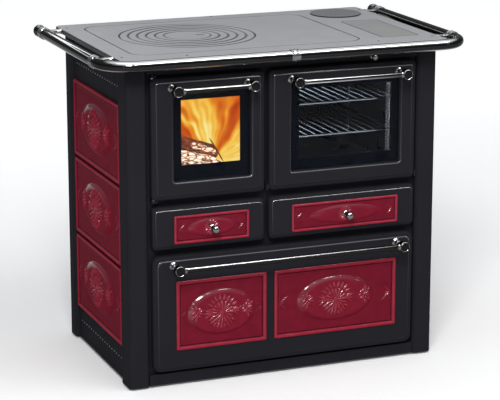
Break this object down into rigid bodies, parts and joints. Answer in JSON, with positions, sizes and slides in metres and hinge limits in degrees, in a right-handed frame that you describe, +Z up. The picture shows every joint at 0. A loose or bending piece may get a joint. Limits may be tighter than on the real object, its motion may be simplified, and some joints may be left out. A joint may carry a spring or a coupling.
{
  "type": "solid fuel range cooker",
  "caption": "Solid fuel range cooker with glazed fire and oven doors, ash, tool and wood drawers, cast-iron hob with lift-out rings, red majolica tiles and a chrome towel rail.",
  "frame": {"origin": "on the floor, under the middle of the cooker's outer box", "axes": "+X to the right of somebody facing the doors, +Y to the back, +Z up"},
  "size_m": [1.011, 0.645, 0.8645],
  "materials": {
    "black_enamel": "textured satin enamel",
    "hob_iron": "ground grey cast iron",
    "fire_iron": "raw cast iron",
    "chrome": "polished",
    "majolica": "gloss red glaze over relief",
    "door_glass": "clear ceramic glass",
    "oven_enamel": "gloss vitreous enamel",
    "sheet_steel": "zinc coated",
    "firebrick": "matt refractory",
    "rope_seal": "braided glass rope",
    "foot_rubber": "matt"
  },
  "bodies": {
    "carcass": {"front_posts": "black_enamel", "rear_posts": "black_enamel", "foot_pads": "foot_rubber", "side_panels": "black_enamel", "front_frame": "black_enamel", "base_plate": "sheet_steel", "plinth": "black_enamel", "back_panel": "sheet_steel", "back_screws": "sheet_steel", "flue_spigot": "fire_iron", "side_tiles": "majolica", "firebox": "fire_iron", "fire_grate": "fire_iron", "firebricks": "firebrick", "oven_box": "oven_enamel", "oven_rack_guides": "chrome", "oven_racks": "chrome", "hinge_lugs": "black_enamel", "drawer_runners": "sheet_steel", "top_plate": "hob_iron", "towel_rail": "chrome", "rail_brackets": "chrome"},
    "fire_door": {"fire_door_panel": "black_enamel", "fire_door_glass": "door_glass", "fire_door_glass_frame": "sheet_steel", "fire_door_gasket": "rope_seal", "fire_door_handle_bar": "chrome", "fire_door_handle_posts": "chrome", "fire_door_hinge_pins": "sheet_steel"},
    "oven_door": {"oven_door_panel": "black_enamel", "oven_door_glass": "door_glass", "oven_door_glass_frame": "sheet_steel", "oven_door_gasket": "rope_seal", "oven_door_handle_bar": "chrome", "oven_door_handle_posts": "chrome", "oven_door_hinge_pins": "sheet_steel"},
    "ash_drawer": {"ash_drawer_front": "black_enamel", "ash_drawer_tile": "majolica", "ash_drawer_knob": "chrome", "ash_pan": "sheet_steel"},
    "tool_drawer": {"tool_drawer_front": "black_enamel", "tool_drawer_tile": "majolica", "tool_drawer_knob": "chrome", "tool_drawer_tray": "sheet_steel"},
    "wood_drawer": {"wood_drawer_front": "black_enamel", "wood_drawer_tiles": "majolica", "wood_drawer_handle_bar": "chrome", "wood_drawer_handle_posts": "chrome", "wood_drawer_tray": "sheet_steel"},
    "flue_damper": {"damper_rod": "sheet_steel", "damper_knob": "chrome"},
    "cook_plate": {"cook_plate": "hob_iron"},
    "ring_1": {"hob_ring_1": "hob_iron"},
    "ring_2": {"hob_ring_2": "hob_iron"},
    "ring_3": {"hob_ring_3": "hob_iron"},
    "ring_4": {"hob_ring_4": "hob_iron"},
    "ring_5": {"hob_ring_5": "hob_iron"},
    "ring_disc": {"hob_disc": "hob_iron"},
    "flue_cap": {"flue_cap": "hob_iron"},
    "access_plate": {"access_plate": "hob_iron"}
  },
  "joints": [
    {"name": "fire_door_hinge", "type": "hinge", "parent": "carcass", "child": "fire_door", "pos_m": [-0.354, -0.244, 0.6495], "axis": [0, 0, -1], "range_deg": [0, 100]},
    {"name": "oven_door_hinge", "type": "hinge", "parent": "carcass", "child": "oven_door", "pos_m": [0.1575, -0.244, 0.502], "axis": [1, 0, 0], "range_deg": [0, 90]},
    {"name": "ash_drawer_slide", "type": "slide", "parent": "carcass", "child": "ash_drawer", "axis": [0, -1, 0], "range_m": [0, 0.34]},
    {"name": "tool_drawer_slide", "type": "slide", "parent": "carcass", "child": "tool_drawer", "axis": [0, -1, 0], "range_m": [0, 0.2]},
    {"name": "wood_drawer_slide", "type": "slide", "parent": "carcass", "child": "wood_drawer", "axis": [0, -1, 0], "range_m": [0, 0.34]},
    {"name": "flue_damper_slide", "type": "slide", "parent": "carcass", "child": "flue_damper", "axis": [0, -1, 0], "range_m": [0, 0.06]},
    {"name": "cook_plate_lift", "type": "slide", "parent": "carcass", "child": "cook_plate", "axis": [0, 0, 1], "range_m": [0, 0.05]},
    {"name": "ring_1_lift", "type": "slide", "parent": "cook_plate", "child": "ring_1", "axis": [0, 0, 1], "range_m": [0, 0.04]},
    {"name": "ring_2_lift", "type": "slide", "parent": "ring_1", "child": "ring_2", "axis": [0, 0, 1], "range_m": [0, 0.04]},
    {"name": "ring_3_lift", "type": "slide", "parent": "ring_2", "child": "ring_3", "axis": [0, 0, 1], "range_m": [0, 0.04]},
    {"name": "ring_4_lift", "type": "slide", "parent": "ring_3", "child": "ring_4", "axis": [0, 0, 1], "range_m": [0, 0.04]},
    {"name": "ring_5_lift", "type": "slide", "parent": "ring_4", "child": "ring_5", "axis": [0, 0, 1], "range_m": [0, 0.04]},
    {"name": "ring_disc_lift", "type": "slide", "parent": "ring_5", "child": "ring_disc", "axis": [0, 0, 1], "range_m": [0, 0.04]},
    {"name": "flue_cap_lift", "type": "slide", "parent": "carcass", "child": "flue_cap", "axis": [0, 0, 1], "range_m": [0, 0.05]},
    {"name": "access_plate_lift", "type": "slide", "parent": "carcass", "child": "access_plate", "axis": [0, 0, 1], "range_m": [0, 0.05]}
  ]
}
